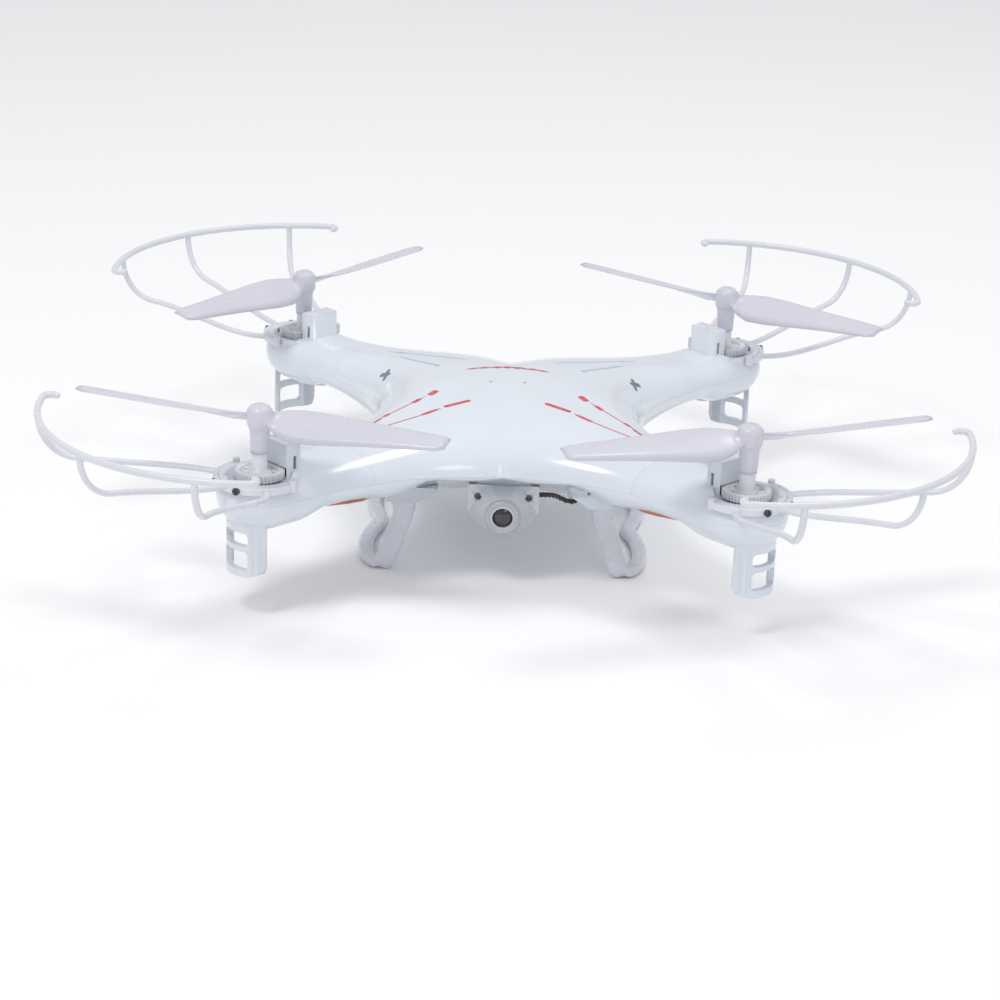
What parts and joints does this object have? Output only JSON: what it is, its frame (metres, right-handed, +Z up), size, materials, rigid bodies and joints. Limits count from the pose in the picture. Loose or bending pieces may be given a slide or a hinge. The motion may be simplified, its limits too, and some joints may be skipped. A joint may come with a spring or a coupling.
{
  "type": "toy quadcopter drone",
  "caption": "Small quadcopter with a smooth cross-shaped shell, geared rotors inside wire guards, landing skids and a camera slung under the nose.",
  "frame": {"origin": "middle of the drone, on the ground plane that the landing skids stand on", "axes": "+X to the right, +Y to the tail, -Y to the nose with the camera, +Z up"},
  "size_m": [0.3144, 0.3144, 0.0732],
  "materials": {
    "shell_upper": "gloss",
    "shell_lower": "gloss",
    "motor_cap": "gloss",
    "pod_base": "gloss",
    "motor_can": "satin",
    "pinion": "satin",
    "main_gear": "satin",
    "rotor_shaft": "satin",
    "propeller": "gloss",
    "prop_guard": "gloss",
    "guard_screws": "satin",
    "landing_skid": "gloss",
    "lens_orange": "gloss",
    "lens_green": "gloss",
    "led_boards": "satin",
    "main_board": "satin",
    "battery": "satin",
    "battery_lead": "satin",
    "battery_door": "gloss",
    "door_pin": "satin",
    "power_switch": "matte",
    "camera_front": "gloss",
    "camera_rear": "gloss",
    "lens_ring": "satin",
    "lens_glass": "gloss",
    "camera_board": "satin",
    "camera_screws": "satin",
    "memory_card": "matte",
    "camera_lead": "satin",
    "shell_screws": "satin",
    "motor_leads": "satin"
  },
  "bodies": {
    "airframe": {"upper_shell": "shell_upper", "lower_shell": "shell_lower", "motor_cap_fl": "motor_cap", "motor_cap_fr": "motor_cap", "motor_cap_rl": "motor_cap", "motor_cap_rr": "motor_cap", "pod_base_fl": "pod_base", "pod_base_fr": "pod_base", "pod_base_rl": "pod_base", "pod_base_rr": "pod_base", "motor_fl": "motor_can", "motor_fr": "motor_can", "motor_rl": "motor_can", "motor_rr": "motor_can", "prop_guard_fl": "prop_guard", "prop_guard_fr": "prop_guard", "prop_guard_rl": "prop_guard", "prop_guard_rr": "prop_guard", "guard_screws": "guard_screws", "landing_skid_left": "landing_skid", "landing_skid_right": "landing_skid", "led_lens_fl": "lens_orange", "led_lens_fr": "lens_orange", "led_lens_rl": "lens_green", "led_lens_rr": "lens_green", "led_boards": "led_boards", "main_board": "main_board", "battery": "battery", "battery_lead": "battery_lead", "door_pin": "door_pin", "camera_front": "camera_front", "camera_rear": "camera_rear", "lens_ring": "lens_ring", "lens_glass": "lens_glass", "camera_board": "camera_board", "camera_screws": "camera_screws", "camera_lead": "camera_lead", "shell_screws": "shell_screws", "motor_leads": "motor_leads"},
    "rotor_fl": {"main_gear_fl": "main_gear", "prop_shaft_fl": "rotor_shaft", "propeller_fl": "propeller"},
    "pinion_fl": {"pinion_fl": "pinion"},
    "rotor_fr": {"main_gear_fr": "main_gear", "prop_shaft_fr": "rotor_shaft", "propeller_fr": "propeller"},
    "pinion_fr": {"pinion_fr": "pinion"},
    "rotor_rl": {"main_gear_rl": "main_gear", "prop_shaft_rl": "rotor_shaft", "propeller_rl": "propeller"},
    "pinion_rl": {"pinion_rl": "pinion"},
    "rotor_rr": {"main_gear_rr": "main_gear", "prop_shaft_rr": "rotor_shaft", "propeller_rr": "propeller"},
    "pinion_rr": {"pinion_rr": "pinion"},
    "door": {"battery_door": "battery_door"},
    "switch": {"power_switch": "power_switch"},
    "card": {"memory_card": "memory_card"}
  },
  "joints": [
    {"name": "rotor_spin_fl", "type": "hinge", "parent": "airframe", "child": "rotor_fl", "pos_m": [-0.0823, -0.0823, 0.0475], "axis": [0, 0, 1], "continuous": true},
    {"name": "pinion_spin_fl", "type": "hinge", "parent": "airframe", "child": "pinion_fl", "pos_m": [-0.07523, -0.07523, 0.0475], "axis": [0, 0, 1], "continuous": true},
    {"name": "rotor_spin_fr", "type": "hinge", "parent": "airframe", "child": "rotor_fr", "pos_m": [0.0823, -0.0823, 0.0475], "axis": [0, 0, 1], "continuous": true},
    {"name": "pinion_spin_fr", "type": "hinge", "parent": "airframe", "child": "pinion_fr", "pos_m": [0.07523, -0.07523, 0.0475], "axis": [0, 0, 1], "continuous": true},
    {"name": "rotor_spin_rl", "type": "hinge", "parent": "airframe", "child": "rotor_rl", "pos_m": [-0.0823, 0.0823, 0.0475], "axis": [0, 0, 1], "continuous": true},
    {"name": "pinion_spin_rl", "type": "hinge", "parent": "airframe", "child": "pinion_rl", "pos_m": [-0.07523, 0.07523, 0.0475], "axis": [0, 0, 1], "continuous": true},
    {"name": "rotor_spin_rr", "type": "hinge", "parent": "airframe", "child": "rotor_rr", "pos_m": [0.0823, 0.0823, 0.0475], "axis": [0, 0, 1], "continuous": true},
    {"name": "pinion_spin_rr", "type": "hinge", "parent": "airframe", "child": "pinion_rr", "pos_m": [0.07523, 0.07523, 0.0475], "axis": [0, 0, 1], "continuous": true},
    {"name": "battery_door_hinge", "type": "hinge", "parent": "airframe", "child": "door", "pos_m": [0.0116, 0.008, 0.0246], "axis": [0, -1, 0], "range_deg": [0, 90]},
    {"name": "power_switch_slide", "type": "slide", "parent": "airframe", "child": "switch", "axis": [0, 1, 0], "range_m": [0, 0.004]},
    {"name": "memory_card_slide", "type": "slide", "parent": "airframe", "child": "card", "axis": [0, 1, 0], "range_m": [0, 0.008]}
  ],
  "couplings": [
    {"joint": "pinion_spin_fl", "follows": "rotor_spin_fl", "ratio": -4.5556},
    {"joint": "pinion_spin_fr", "follows": "rotor_spin_fr", "ratio": -4.5556},
    {"joint": "pinion_spin_rl", "follows": "rotor_spin_rl", "ratio": -4.5556},
    {"joint": "pinion_spin_rr", "follows": "rotor_spin_rr", "ratio": -4.5556}
  ]
}
